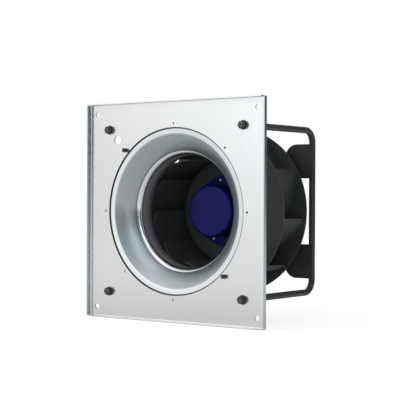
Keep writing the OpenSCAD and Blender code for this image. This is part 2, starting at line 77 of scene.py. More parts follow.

# Painted shade on the plate: half width of its flat, inside which hole walls are shaded; start and inside
# of its side rims, which are painted darker; painted shade line along their folds
PLATE_FLAT = 190 * MM
RIM_FROM = 197.5 * MM
RIM_INSIDE = 199 * MM
RIM_NEAR = 0.5 * MM
FOLD_LINE = 6 * MM
FOLD_LINE_SPAN = (0.4 * MM, 1 * MM)
FOLD_LINE_SHARE = 0.8

# Nozzle profile: (0, length) is a straight run, (radius, heading) is a bend.
# The flat flange is two runs, so the small holes lie between two of its rings. The lip inside it is
# dished a little.
NOZZLE_SHEET = 1.5 * MM
NOZZLE_LEGS = [
    (0, 4 * MM),
    (0, 11 * MM),
    (2 * MM, 4),
    (0, 10.5 * MM),
    (8 * MM, 34),
    (110 * MM, 54),
    (1.5 * MM, 30),
    (16 * MM, 93),
]
NOZZLE_HOLES = 8
NOZZLE_HOLE_R = 2.25 * MM

# Marks on the nozzle: painted shadow line inside the plate's cut-out, painted shade line along the
# crease, polish, and depths where zones start, down to where the throat's painted shade is darkest
RING_LINE = 3 * MM
RING_LINE_R = CUTOUT_R - RING_LINE / 3
CREASE_LINE = 2.2 * MM
CREASE_R = 111.8 * MM
CREASE_SHARE = 0.7
ROLL_POLISH = 0.14
TRUMPET_POLISH = 0.04
TRUMPET_MATT = 0.4
LIP_DEPTH = 0.8 * MM
ROLL_FROM = 29 * MM
THROAT_FROM = 46 * MM
THROAT_FADE = 9 * MM
THROAT_END = 64 * MM

# Shroud: a collar over the nozzle, then one flare to the rim
SHROUD_SHEET = 2.5 * MM
SHROUD_COLLAR = 6 * MM

# Hoops
HOOP_BEND = 24 * MM
STUD_R = 4 * MM
THREAD_PITCH = 1.25 * MM
THREAD_DEPTH = 0.55 * MM
THREAD_ROWS = 10

# Fasteners: a head is its radius and height, and the trim of six-sided corners is a share of the flats
NUT_FLATS = 13 * MM
NUT_BORE_R = 4.05 * MM
WASHER_BORE_R = 4.25 * MM
SMALL_NUT_FLATS = 7 * MM
SMALL_NUT_BORE_R = 2.05 * MM
BOLT_FLATS = 10 * MM
BOLT_R = 3 * MM
BOLT_HEAD_H = 4 * MM
SCREW_R = 2 * MM
NOZZLE_HEAD = (4 * MM, 6.5 * MM)
ROTOR_HEAD = (3.25 * MM, 2.6 * MM)
COVER_HEAD = (3.5 * MM, 2.6 * MM)
HEAD_DOME = 1.4 * MM
SOCKET_FLATS = 3 * MM
TRIM_SHARE = 0.48
TRIM_ANGLE = 30

# Cable gland
GLAND_FLATS = 20 * MM
GLAND_BORE_R = 4 * MM
GLAND_THREAD_R = 7.95 * MM
GLAND_WALL = 10.5 * MM
GLAND_HEX_H = 6 * MM
GLAND_CAP_R = 9 * MM
GLAND_FLUTES = 18
FLUTE_DEPTH = 0.6 * MM
FLUTE_POWER = 4

# Fineness of the meshes: steps round a bend in degrees and round a turn, eased edges, and the angles
# in degrees above which edges stay sharp
BEND_STEP = 1.5
FOLD_STEPS = 9
CROWN_STEPS = 6
TURN_STEPS = 288
GLAND_STEPS = 144
SMALL_STEPS = 48
BAR_SIDES = 40
EASE = 0.4 * MM
SHELL_SHARP = 35
SHARP = 30
NUT_SHARP = 25
SAME_POINT = 0.001 * MM


# Shape helpers

def heading(angle):
    a = math.radians(angle)
    return Vector((-math.cos(a), math.sin(a)))


def sheet_side(angle):
    a = math.radians(angle)
    return Vector((math.sin(a), math.cos(a)))


def follow(at, angle, legs):
    """Points along a sheet's flow side, as radius and depth, each with its heading."""
    trail = []
    for size, value in legs:
        if size == 0:
            trail.append((at, angle))
            at = at + value * heading(angle)
        else:
            turn = 1 if value > angle else -1
            centre = at + turn * size * sheet_side(angle)
            steps = max(2, math.ceil(abs(value - angle) / BEND_STEP))
            for k in range(steps):
                a = angle + (value - angle) * k / steps
                trail.append((centre - turn * size * sheet_side(a), a))
            angle = value
            at = centre - turn * size * sheet_side(angle)
    trail.append((at, angle))
    return trail


def sheet_outline(at, angle, legs, sheet):
    """Closed outline of a bent sheet with eased edges: its far side, then back along its flow side."""
    trail = follow(Vector(at), angle, legs)
    ease = sheet / 4
    (first, first_angle), (last, last_angle) = trail[0], trail[-1]
    trail[0] = (first + ease * heading(first_angle), first_angle)
    trail[-1] = (last - ease * heading(last_angle), last_angle)
    far = [p + sheet * sheet_side(a) for p, a in trail]
    near = [p for p, _ in trail]
    tip = [last + t * sheet_side(last_angle) for t in (sheet - ease, ease)]
    root = [first + t * sheet_side(first_angle) for t in (ease, sheet - ease)]
    return far + tip + near[::-1] + root


def shade_smooth(mesh, sharp_angle):
    mesh.polygons.foreach_set("use_smooth", [True] * len(mesh.polygons))
    mesh.set_sharp_from_angle(angle=math.radians(sharp_angle))


def new_object(name, bm, sharp_angle=SHELL_SHARP):
    """Object from a bmesh, smooth-shaded between its sharp edges."""
    bmesh.ops.recalc_face_normals(bm, faces=bm.faces)
    mesh = bpy.data.meshes.new(name)
    bm.to_mesh(mesh)
    bm.free()
    shade_smooth(mesh, sharp_angle)
    obj = bpy.data.objects.new(name, mesh)
    bpy.context.scene.collection.objects.link(obj)
    return obj


def value_at(value, angle):
    return value(angle) if callable(value) else value


def join_rings(bm, rings, closed):
    """Faces between neighbouring rings of vertices, where a ring of one vertex is a point."""
    for here, there in zip(rings, rings[1:] + rings[:1] if closed else rings[1:]):
        for k in range(max(len(here), len(there))):
            corners = [here[k % len(here)], here[(k + 1) % len(here)],
                       there[(k + 1) % len(there)], there[k % len(there)]]
            corners = list(dict.fromkeys(corners))
            if len(corners) > 2:
                bm.faces.new(corners)


def turned(bm, outline, steps=TURN_STEPS, centre=(0, 0)):
    """Adds an outline of radius and depth turned about an axis along Y; both may depend on the angle."""
    rings = []
    for r, y in outline:
        if r == 0:
            rings.append([bm.verts.new((centre[0], y, centre[1]))])
            continue
        ring = []
        for k in range(steps):
            a = 2 * math.pi * k / steps
            radius = value_at(r, a)
            ring.append(bm.verts.new((centre[0] + radius * math.cos(a), value_at(y, a),
                                      centre[1] + radius * math.sin(a))))
        rings.append(ring)
    join_rings(bm, rings, closed=outline[0][0] != 0)


def hexagon(flats):
    """Radius of a six-sided bar at each angle, with a corner at angle 0."""
    return lambda a: flats / 2 / math.cos(a % (math.pi / 3) - math.pi / 6)


def trimmed(flats, face, inward):
    """Depth at which the sides of a six-sided bar meet the cone that trims its corners."""
    side = hexagon(flats)
    return lambda a: face + inward * (side(a) - TRIM_SHARE * flats) * math.tan(math.radians(TRIM_ANGLE))


def hex_outline(flats, low, high):
    """Outside of a nut or bolt head between two depths, corners trimmed at both ends."""
    trim_r = TRIM_SHARE * flats
    return [(trim_r, low), (hexagon(flats), trimmed(flats, low, 1)),
            (hexagon(flats), trimmed(flats, high, -1)), (trim_r, high)]


def solids(name):
    """Lowest and highest corners of each separate solid of a node."""
    bm = bmesh.new()
    bm.from_mesh(nodes[name].data)
    bmesh.ops.remove_doubles(bm, verts=bm.verts, dist=SAME_POINT)
    unseen = set(bm.verts)
    boxes = []
    for start in bm.verts:
        if start not in unseen:
            continue
        unseen.remove(start)
        reach = [start]
        for vert in reach:
            for edge in vert.link_edges:
                other = edge.other_vert(vert)
                if other in unseen:
                    unseen.remove(other)
                    reach.append(other)
        low = Vector([min(v.co[i] for v in reach) for i in range(3)])
        high = Vector([max(v.co[i] for v in reach) for i in range(3)])
        boxes.append((low, high))
    bm.free()
    return boxes


def middle(low, high):
    return (low.x + high.x) / 2, (low.z + high.z) / 2


def radii(name):
    """Smallest and largest distance of a node's points from the fan axis."""
    reach = [math.hypot(v.co.x, v.co.z) for v in nodes[name].data.vertices]
    return min(reach), max(reach)


def boolean(target, tool, operation):
    """Applies a solid operation and removes the tool."""
    modifier = target.modifiers.new("solid", "BOOLEAN")
    modifier.object = tool
    modifier.operation = operation
    modifier.solver = "EXACT"
    graph = bpy.context.evaluated_depsgraph_get()
    mesh = bpy.data.meshes.new_from_object(target.evaluated_get(graph))
    target.modifiers.clear()
    shade_smooth(mesh, SHARP)
    target.data = mesh
    bpy.data.objects.remove(tool)


def mount(piece, body, node):
    """Ties a piece to its body and hides the node that it stands for."""
    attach(piece, body)
    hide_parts(node)
    return piece


# Folded plate

def prism(bm, outline, reach, turn):
    """Adds an outline of reach and depth drawn out both ways along a side of the plate, then turned."""
    ends = []
    for along in (-reach, reach):
        ends.append([bm.verts.new(turn @ Vector((u, y, along))) for u, y in outline])
    bm.faces.new(ends[0])
    bm.faces.new(ends[1][::-1])
    join_rings(bm, ends, closed=False)


def rim_outline(half, depth, fold_r):
    """Section of a folded rim: round the outside of its bend, to its edge and back along the inside."""
    outer = fold_r + PLATE_SHEET
    start = half - outer
    steps = [math.radians(90 * k / FOLD_STEPS) for k in range(FOLD_STEPS + 1)]
    outside = [(start + outer * math.sin(a), -outer + outer * math.cos(a)) for a in steps]
    inside = [(start + fold_r * math.sin(a), -outer + fold_r * math.cos(a)) for a in reversed(steps)]
    return outside + [(half, depth), (half - PLATE_SHEET, depth)] + inside


def small_holes():
    """Centres of the holes round the cut-out, of which two hold the nozzle's screws."""
    circle = math.hypot(*middle(*solids("nozzle_screws")[0]))
    angles = [2 * math.pi * k / NOZZLE_HOLES for k in range(NOZZLE_HOLES)]
    return [(circle * math.cos(a), circle * math.sin(a)) for a in angles]


def drill(bm, centre, radius, steps=SMALL_STEPS):
    ends = 2 * PLATE_SHEET
    turned(bm, [(0, -ends), (radius, -ends), (radius, ends), (0, ends)], steps, centre)


def make_plate(name):
    """Square plate with four folded rims, slit at the corners, and all its holes."""
    low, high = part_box("nozzle_plate")
    half = high.x
    wide = half - SIDE_FOLD_R - PLATE_SHEET
    tall = half - EDGE_FOLD_R - PLATE_SHEET
    flat = [(-wide, 0), (wide, 0), (wide, -PLATE_SHEET), (-wide, -PLATE_SHEET)]
    bm = bmesh.new()
    prism(bm, flat, tall, Matrix.Identity(3))
    plate = new_object(name, bm)
    for k in range(4):
        at_side = k % 2 == 0
        fold_r = SIDE_FOLD_R if at_side else EDGE_FOLD_R
        reach = half - RIM_SHORT if at_side else wide - RIM_SLIT
        turn = Matrix.Rotation(math.radians(90 * k), 3, "Y")
        rim = bmesh.new()
        prism(rim, rim_outline(half, low.y, fold_r), reach, turn)
        boolean(plate, new_object("rim", rim), "UNION")
    drills = bmesh.new()
    drill(drills, (0, 0), CUTOUT_R, TURN_STEPS)
    for x, z in [middle(*box) for box in solids("hoop_nuts")]:
        corner = (math.copysign(CORNER_PITCH, x), math.copysign(CORNER_PITCH, z))
        drill(drills, (x, z), STUD_HOLE_R)
        drill(drills, corner, CORNER_HOLE_R)
    for centre in small_holes():
        drill(drills, centre, NOZZLE_HOLE_R)
    drill(drills, CABLE_HOLE, CABLE_HOLE_R)
    boolean(plate, new_object("drills", drills), "DIFFERENCE")
    return plate


# Spun and moulded shells

def make_nozzle(name):
    """Bell mouth with its flange behind the plate, and a throat as long as the solid's."""
    low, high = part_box("inlet_nozzle")
    start = (high.x, low.y)
    bell_end, end_angle = follow(Vector(start), 0, NOZZLE_LEGS)[-1]
    throat = (high.y - bell_end.y) / math.sin(math.radians(end_angle))
    bm = bmesh.new()
    turned(bm, sheet_outline(start, 0, NOZZLE_LEGS + [(0, throat)], NOZZLE_SHEET))
    nozzle = new_object(name, bm)
    drills = bmesh.new()
    for centre in small_holes():
        drill(drills, centre, NOZZLE_HOLE_R)
    boolean(nozzle, new_object("drills", drills), "DIFFERENCE")
    return nozzle


def make_shroud(name):
    """Collar and one flare that ends at the back plate's radius."""
    low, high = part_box("impeller_shroud")
    collar_r = radii("impeller_shroud")[0]
    rim_r = radii("impeller_backplate")[1]
    run = high.y - low.y - SHROUD_COLLAR
    turn = 2 * math.atan((rim_r - collar_r) / run)
    legs = [(0, SHROUD_COLLAR), (run / math.sin(turn), 90 + math.degrees(turn))]
    bm = bmesh.new()
    turned(bm, sheet_outline((collar_r, low.y), 90, legs, SHROUD_SHEET))
    return new_object(name, bm)


# Bent bars

def thread_radius(along):
    """Radius of a stud's thread at each angle, for a place along the stud."""
    def radius(angle):
        phase = (along / THREAD_PITCH - angle / (2 * math.pi)) % 1
        return STUD_R - THREAD_DEPTH * (1 - abs(2 * phase - 1))
    return radius


def leg_stations(tip, bar_r):
    """Places along a leg from the tip of its stud to the start of the bend, as depth and radius."""
    rows = math.floor(-tip / THREAD_PITCH * THREAD_ROWS)
    stations = [(tip, STUD_R - 2 * THREAD_DEPTH)]
    for k in range(1, rows + 1):
        y = tip + k * THREAD_PITCH / THREAD_ROWS
        stations.append((y, thread_radius(y)))
    return stations + [(-EASE / 4, STUD_R), (0, STUD_R), (0, bar_r - EASE), (EASE, bar_r)]


def make_hoop(name, node):
    """One bar swept along its line in an upright plane: leg, bend, back, bend and leg."""
    low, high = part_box(node)
    bar_r = (high.x - low.x) / 2
    x = (low.x + high.x) / 2
    leg_z = high.z - bar_r
    bend_centre = Vector((x, high.y - bar_r - HOOP_BEND, leg_z - HOOP_BEND))
    half = []
    for y, r in leg_stations(low.y, bar_r):
        half.append((Vector((x, y, leg_z)), Vector((0, 0, 1)), r))
    bend_steps = round(90 / (2 * BEND_STEP))
    for k in range(bend_steps + 1):
        a = math.radians(90 * k / bend_steps)
        out = Vector((0, math.sin(a), math.cos(a)))
        half.append((bend_centre + HOOP_BEND * out, out, bar_r))
    flip = Matrix.Diagonal((1, 1, -1))
    stations = half + [(flip @ centre, flip @ out, r) for centre, out, r in reversed(half)]
    bm = bmesh.new()
    rings = [[bm.verts.new(stations[0][0])]]
    for centre, out, r in stations:
        ring = []
        for k in range(BAR_SIDES):
            a = 2 * math.pi * k / BAR_SIDES
            around = math.cos(a) * out + math.sin(a) * Vector((1, 0, 0))
            ring.append(bm.verts.new(centre + value_at(r, a) * around))
        rings.append(ring)
    rings.append([bm.verts.new(stations[-1][0])])
    join_rings(bm, rings, closed=False)
    return new_object(name, bm, SHARP)


# Fasteners

def make_nuts(name, node, flats, bore_r):
    bm = bmesh.new()
    for low, high in solids(node):
        bore = [(bore_r + EASE, high.y), (bore_r, high.y - EASE),
                (bore_r, low.y + EASE), (bore_r + EASE, low.y)]
        turned(bm, bore + hex_outline(flats, low.y, high.y), SMALL_STEPS, middle(low, high))
    return new_object(name, bm, NUT_SHARP)


def make_washers(name, node, bore_r):
    bm = bmesh.new()
    for low, high in solids(node):
        rim = (high.x - low.x) / 2
        outline = [(bore_r, high.y), (bore_r, low.y + EASE / 2), (bore_r + EASE / 2, low.y),
                   (rim - EASE, low.y), (rim, low.y + EASE), (rim, high.y)]
        turned(bm, outline, SMALL_STEPS, middle(low, high))
    return new_object(name, bm, NUT_SHARP)


def socket_outline(top, out):
    """Six-sided socket sunk in a screw head, from the head's top to its floor."""
    side = hexagon(SOCKET_FLATS)
    floor = top - out * SOCKET_FLATS / 2
    return [(lambda a: side(a) + EASE / 2, top), (side, top - out * EASE / 2), (side, floor), (0, floor)]


def make_socket_screws(name, node, head, dome, out):
    """Screws with a round head that points along out, -1 to the front or 1 to the rear."""
    head_r, head_h = head
    bm = bmesh.new()
    for low, high in solids(node):
        top, tip = (low.y, high.y) if out < 0 else (high.y, low.y)
        seat = top - out * head_h
        shank = [(0, tip), (SCREW_R - EASE, tip), (SCREW_R, tip + out * EASE), (SCREW_R, seat)]
        crown = [(head_r, seat)]
        for k in range(CROWN_STEPS + 1):
            a = math.radians(90 * k / CROWN_STEPS)
            crown.append((head_r - dome * (1 - math.cos(a)), top - out * dome * (1 - math.sin(a))))
        turned(bm, shank + crown + socket_outline(top, out), SMALL_STEPS, middle(low, high))
    return new_object(name, bm, SHARP)


def make_bolts(name, node):
    bm = bmesh.new()
    for low, high in solids(node):
        seat = high.y - BOLT_HEAD_H
        shank = [(0, low.y), (BOLT_R - EASE, low.y), (BOLT_R, low.y + EASE), (BOLT_R, seat)]
        head = hex_outline(BOLT_FLATS, seat, high.y) + [(0, high.y)]
        turned(bm, shank + head, SMALL_STEPS, middle(low, high))
    return new_object(name, bm, NUT_SHARP)


def fluted(angle):
    """Radius of the gland's cap at each angle, where it is fluted."""
    return GLAND_CAP_R - FLUTE_DEPTH * (0.5 + 0.5 * math.cos(GLAND_FLUTES * angle)) ** FLUTE_POWER


def make_gland(name):
    """Cable gland under the housing: thread, six-sided body and fluted cap, whose last third is domed."""
    low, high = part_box("cable_gland")
    length = high.z - low.z
    cap_from = GLAND_WALL + GLAND_HEX_H
    mouth_r = GLAND_BORE_R + 2 * EASE
    dome = (length - cap_from) / 3
    outline = [(GLAND_BORE_R, length - EASE), (GLAND_BORE_R, 0), (GLAND_THREAD_R - EASE, 0),
               (GLAND_THREAD_R, EASE), (GLAND_THREAD_R, GLAND_WALL)]
    outline += hex_outline(GLAND_FLATS, GLAND_WALL, cap_from)
    outline += [(GLAND_CAP_R - EASE, cap_from), (GLAND_CAP_R, cap_from + EASE),
                (GLAND_CAP_R, cap_from + 3 * EASE), (fluted, cap_from + 5 * EASE),
                (fluted, length - dome - 2 * EASE), (GLAND_CAP_R, length - dome)]
    for k in range(1, CROWN_STEPS + 1):
        a = math.radians(90 * k / CROWN_STEPS)
        radius = mouth_r + (GLAND_CAP_R - mouth_r) * math.cos(a)
        outline.append((radius, length - dome * (1 - math.sin(a))))
    bm = bmesh.new()
    turned(bm, outline, GLAND_STEPS)
    turn = Matrix.Rotation(math.radians(-90), 4, "X")
    shift = Matrix.Translation((0, (low.y + high.y) / 2, high.z))
    bmesh.ops.transform(bm, matrix=shift @ turn, verts=bm.verts)
    return new_object(name, bm, SHARP)


new_pieces = [
    mount(make_plate("folded_plate"), "frame", "nozzle_plate"),
    mount(make_nozzle("spun_nozzle"), "frame", "inlet_nozzle"),
    mount(make_shroud("flared_shroud"), "impeller", "impeller_shroud"),
    mount(make_hoop("left_bent_bar", "left_hoop"), "frame", "left_hoop"),
    mount(make_hoop("right_bent_bar", "right_hoop"), "frame", "right_hoop"),
    mount(make_nuts("stud_nuts", "hoop_nuts", NUT_FLATS, NUT_BORE_R),
          "frame", "hoop_nuts"),
    mount(make_washers("stud_washers", "hoop_washers", WASHER_BORE_R),
          "frame", "hoop_washers"),
    mount(make_socket_screws("bell_screws", "nozzle_screws", NOZZLE_HEAD, EASE, out=-1),
          "frame", "nozzle_screws"),
    mount(make_nuts("bell_nuts", "nozzle_nuts", SMALL_NUT_FLATS, SMALL_NUT_BORE_R),
          "frame", "nozzle_nuts"),
    mount(make_socket_screws("flange_screws", "rotor_screws", ROTOR_HEAD, HEAD_DOME, out=-1),
          "impeller", "rotor_screws"),
    mount(make_bolts("motor_bolts", "carrier_bolts"),
          "frame", "carrier_bolts"),
    mount(make_socket_screws("lid_screws", "cover_screws", COVER_HEAD, HEAD_DOME, out=1),
          "frame", "cover_screws"),
    mount(make_gland("fluted_gland"), "frame", "cable_gland"),
]


# Shader helpers

# An edge is worn, or painted bright as a highlight, up to the first match of its plain and softened
# directions, and not from the second on.
# A thin line is full up to the first share of its width, and gone at the second. A face is steep where
# less than this share of its direction lies along the fan axis.
EDGE_SPAN = (0.75, 0.97)
LINE_SPAN = (0.3, 0.7)
STEEP = 0.5


def new_material(name):
    material = bpy.data.materials.new(name)
    material.use_nodes = True
    tree = material.node_tree
    return material, tree, tree.nodes["Principled BSDF"]


def feed(tree, socket, value):
    """Links a socket to another node's output, or sets its value."""
    if isinstance(value, bpy.types.NodeSocket):
        tree.links.new(value, socket)
    else:
        socket.default_value = value


def add(tree, kind, inputs=None, **settings):
    """New node with its settings, its values and its links."""
    node = tree.nodes.new(kind)
    for key, value in settings.items():
        setattr(node, key, value)
    for key, value in (inputs or {}).items():
        feed(tree, node.inputs[key], value)
    return node


def connect(tree, shader, **sockets):
    """Feeds a shader's sockets, whose names have an underscore for each space."""
    for key, value in sockets.items():
        feed(tree, shader.inputs[key.replace("_", " ")], value)


def place(tree):
    return add(tree, "ShaderNodeTexCoord").outputs["Object"]


def axes_of(tree, vector):
    return add(tree, "ShaderNodeSeparateXYZ", {0: vector}).outputs


def maths(tree, operation, a, b=0.0):
    return add(tree, "ShaderNodeMath", {0: a, 1: b}, operation=operation).outputs[0]


def plus(tree, a, b):
    return maths(tree, "ADD", a, b)


def minus(tree, a, b):
    return maths(tree, "SUBTRACT", a, b)


def times(tree, a, b):
    return maths(tree, "MULTIPLY", a, b)


def absolute(tree, value):
    return maths(tree, "ABSOLUTE", value)


def dot(tree, a, b):
    return add(tree, "ShaderNodeVectorMath", {0: a, 1: b}, operation="DOT_PRODUCT").outputs["Value"]


def distance_of(tree, vector):
    return add(tree, "ShaderNodeVectorMath", {0: vector}, operation="LENGTH").outputs["Value"]


def stretched(tree, vector, scale):
    return add(tree, "ShaderNodeMapping", {"Vector": vector, "Scale": scale}).outputs["Vector"]


def polar(tree, vector):
    """Radius about the fan axis and depth, for marks that run round the axis."""
    axes = axes_of(tree, vector)
    flat = add(tree, "ShaderNodeCombineXYZ", {"X": axes["X"], "Z": axes["Z"]}).outputs[0]
    return add(tree, "ShaderNodeCombineXYZ", {"X": distance_of(tree, flat), "Y": axes["Y"]}).outputs[0]


def noise(tree, vector, scale, detail=3.0, roughness=0.5):
    values = {"Vector": vector, "Scale": scale, "Detail": detail, "Roughness": roughness}
    return add(tree, "ShaderNodeTexNoise", values).outputs["Fac"]


def cells(tree, vector, scale):
    colour = add(tree, "ShaderNodeTexVoronoi", {"Vector": vector, "Scale": scale}).outputs["Color"]
    return add(tree, "ShaderNodeSeparateColor", {0: colour}).outputs[0]


def spread(tree, value, low, high, start=0.25, end=0.75):
    """Runs from low to high while the value, by default a noise, goes from start to end."""
    values = {"Value": value, "From Min": start, "From Max": end, "To Min": low, "To Max": high}
    return add(tree, "ShaderNodeMapRange", values).outputs["Result"]


def rise(tree, value, start, end):
    return spread(tree, value, 0.0, 1.0, start, end)


def fall(tree, value, start, end):
    return spread(tree, value, 1.0, 0.0, start, end)


def opaque(colour):
    return colour if isinstance(colour, bpy.types.NodeSocket) else (*colour, 1.0)


def blend(tree, factor, first, second):
    inputs = {0: factor, 6: opaque(first), 7: opaque(second)}
    return add(tree, "ShaderNodeMix", inputs, data_type="RGBA").outputs[2]


def mottle(tree, value, colours):
    """Two colours mixed by a noise."""
    return blend(tree, spread(tree, value, 0.0, 1.0), *colours)


def edges(tree, radius):
    """1 on sharp edges, where a coat wears or a painted edge highlight goes, and 0 on open faces."""
    soft = add(tree, "ShaderNodeBevel", {"Radius": radius}, samples=4).outputs["Normal"]
    plain = add(tree, "ShaderNodeNewGeometry").outputs["Normal"]
    return fall(tree, dot(tree, soft, plain), *EDGE_SPAN)


def ring_line(tree, vector, radius, width):
    """1 on a thin ring round the fan axis."""
    off = absolute(tree, minus(tree, axes_of(tree, polar(tree, vector))["X"], radius))
    return fall(tree, off, *(share * width for share in LINE_SPAN))


def hole_walls(tree, vector):
    """1 on the walls of the holes in the plate, whose faces stand across it inside its rims, where
    painted shade goes.
    """
    facing = add(tree, "ShaderNodeNewGeometry").outputs["Normal"]
    steep = maths(tree, "LESS_THAN", absolute(tree, axes_of(tree, facing)["Y"]), STEEP)
    axes = axes_of(tree, vector)
    reach = maths(tree, "MAXIMUM", absolute(tree, axes["X"]), absolute(tree, axes["Z"]))
    return times(tree, maths(tree, "LESS_THAN", reach, PLATE_FLAT), steep)


def bump(tree, shader, height, distance, strength):
    values = {"Height": height, "Distance": distance, "Strength": strength}
    connect(tree, shader, Normal=add(tree, "ShaderNodeBump", values).outputs["Normal"])


# Colours: a pair is the two ends of a mottled finish, except the throat's, which runs from lighter to
# darker painted shade deeper in

ZINC = ((0.82, 0.822, 0.825), (0.79, 0.793, 0.80))
# Painted shade: the darker blue-grey of the plate's side rims
ZINC_RIM_SHADE = (0.57, 0.62, 0.65)
FOLD_SHADE = (0.10, 0.115, 0.13)
# Painted shade: near black for the plate's hole walls, and a painted shadow line on the nozzle at the
# plate's cut-out
GAP_SHADE = (0.04, 0.04, 0.042)
SPUN = ((0.82, 0.835, 0.84), (0.78, 0.80, 0.81))
TRUMPET = ((0.42, 0.465, 0.485), (0.37, 0.415, 0.435))
# Painted shade: the throat runs from dull brown-grey to near black deeper in
THROAT_SHADE = ((0.40, 0.39, 0.385), (0.13, 0.13, 0.14))
CREASE_SHADE = (0.10, 0.11, 0.115)
COAT = ((0.018, 0.018, 0.018), (0.028, 0.028, 0.027))
COAT_RUBBED = (0.085, 0.085, 0.087)
STUD_RUBBED = (0.60, 0.60, 0.60)
PLASTIC = ((0.024, 0.028, 0.031), (0.033, 0.037, 0.039))
PLASTIC_EDGE = (0.044, 0.048, 0.050)
SHROUD = ((0.050, 0.049, 0.047), (0.060, 0.059, 0.056))
BLUE = ((0.0022, 0.0044, 0.086), (0.0034, 0.0058, 0.108))
BLUE_EDGE = (0.02, 0.02, 0.20)
OXIDE = ((0.010, 0.010, 0.0105), (0.016, 0.016, 0.0165))
# Partly wear, partly painted highlight: the bright edges of the black fasteners
OXIDE_GLINT_AND_WEAR = (0.70, 0.70, 0.70)
CAST = ((0.58, 0.59, 0.60), (0.49, 0.50, 0.515))
CAST_EDGE = (0.74, 0.75, 0.76)
BRIGHT_STEEL = ((0.78, 0.77, 0.74), (0.66, 0.65, 0.62))
GROUND_STEEL = ((0.62, 0.62, 0.63), (0.54, 0.54, 0.55))
LAMINATION = ((0.34, 0.35, 0.37), (0.24, 0.25, 0.27))
COPPER = ((0.72, 0.36, 0.16), (0.55, 0.24, 0.09))
MAGNET = ((0.10, 0.10, 0.11), (0.06, 0.06, 0.065))
BOARD = ((0.02, 0.13, 0.06), (0.03, 0.18, 0.08))
RUBBER = ((0.015, 0.015, 0.015), (0.025, 0.025, 0.025))
GLAND = ((0.014, 0.014, 0.015), (0.024, 0.024, 0.025))
FLOOR = ((0.29, 0.29, 0.29), (0.31, 0.31, 0.31))
WHITE = (1, 1, 1)


# Materials

def zinc_sheet():
    """Bright galvanised sheet with a faint spangle, rolling lines and handling marks; its side rims
    painted darker, a dark line along their folds and its hole walls painted near black, all as painted
    shade.
    """
    material, tree, shader = new_material("zinc_sheet")
    at = place(tree)
    axes = axes_of(tree, at)
    spangle = cells(tree, at, scale=190.0)
    lines = noise(tree, stretched(tree, at, scale=(900.0, 900.0, 14.0)), scale=1.0, detail=2.0)
    marks = noise(tree, at, scale=7.0, detail=5.0, roughness=0.6)
    tone = plus(tree, spread(tree, spangle, 0.0, 0.3, start=0.0, end=1.0),
                spread(tree, marks, 0.0, 0.7))
    across = absolute(tree, axes["X"])
    # Painted shade: both side rims are coloured darker blue-grey
    rim = rise(tree, across, RIM_FROM, RIM_FROM + ZONE_EDGE)
    sheet = blend(tree, rim, blend(tree, tone, *ZINC), ZINC_RIM_SHADE)
    # Painted shade: a dark line along the fold of each side rim
    off_fold = absolute(tree, plus(tree, axes["Y"], FOLD_LINE))
    off_rim = absolute(tree, minus(tree, across, RIM_INSIDE))
    fold = times(tree, spread(tree, off_fold, FOLD_LINE_SHARE, 0.0, *FOLD_LINE_SPAN),
                 maths(tree, "LESS_THAN", off_rim, RIM_NEAR))
    sheet = blend(tree, fold, sheet, FOLD_SHADE)
    rough = plus(tree, spread(tree, marks, 0.20, 0.26),
                 spread(tree, spangle, -0.01, 0.01, start=0.0, end=1.0))
    # Painted shade: the hole walls are coloured near black
    connect(tree, shader, Base_Color=blend(tree, hole_walls(tree, at), sheet, GAP_SHADE),
            Roughness=rough, Metallic=1.0)
    bump(tree, shader, lines, distance=0.01 * MM, strength=0.3)
    return material


def spun_zinc():
    """The same sheet after spinning: fine rings round the axis, a burnished roll, a painted shade line
    along the crease, a painted shadow line inside the plate's cut-out, and a dull throat painted darker
    deeper in as painted shade.
    """
    material, tree, shader = new_material("spun_zinc")
    at = place(tree)
    depth = axes_of(tree, at)["Y"]
    cone = rise(tree, depth, LIP_DEPTH, LIP_DEPTH + ZONE_EDGE)
    roll = rise(tree, depth, ROLL_FROM - ZONE_EDGE, ROLL_FROM + ZONE_EDGE)
    trumpet = minus(tree, cone, roll)
    throat = rise(tree, depth, THROAT_FROM - THROAT_FADE, THROAT_FROM)
    deep = rise(tree, depth, THROAT_FROM, THROAT_END)
    rings = noise(tree, polar(tree, at), scale=700.0, roughness=0.6)
    broad = noise(tree, polar(tree, at), scale=90.0, detail=2.0)
    marks = noise(tree, at, scale=11.0, detail=4.0)
    tone = plus(tree, spread(tree, rings, 0.0, 0.5), spread(tree, marks, 0.0, 0.5))
    sheet = blend(tree, trumpet, blend(tree, tone, *SPUN), blend(tree, tone, *TRUMPET))
    # Painted shade: a dark line along the crease
    crease = times(tree, ring_line(tree, at, CREASE_R, CREASE_LINE), CREASE_SHARE)
    sheet = blend(tree, crease, sheet, CREASE_SHADE)
    # Painted shadow: a dark line on the nozzle just inside the plate's cut-out
    sheet = blend(tree, ring_line(tree, at, RING_LINE_R, RING_LINE), sheet, GAP_SHADE)
    # Painted shade: the throat darkens towards near black deeper in
    sheet = blend(tree, throat, sheet, blend(tree, deep, *THROAT_SHADE))
    rough = plus(tree, spread(tree, broad, 0.30, 0.34), spread(tree, marks, -0.02, 0.02))
    rough = minus(tree, rough, times(tree, roll, ROLL_POLISH))
    rough = minus(tree, rough, times(tree, trumpet, TRUMPET_POLISH))
    matt = maths(tree, "MAXIMUM", throat, times(tree, trumpet, TRUMPET_MATT))
    connect(tree, shader, Base_Color=sheet, Roughness=rough,
            Metallic=spread(tree, matt, 1.0, 0.45, start=0.0, end=1.0))
    bump(tree, shader, rings, distance=0.01 * MM, strength=0.4)
    return material


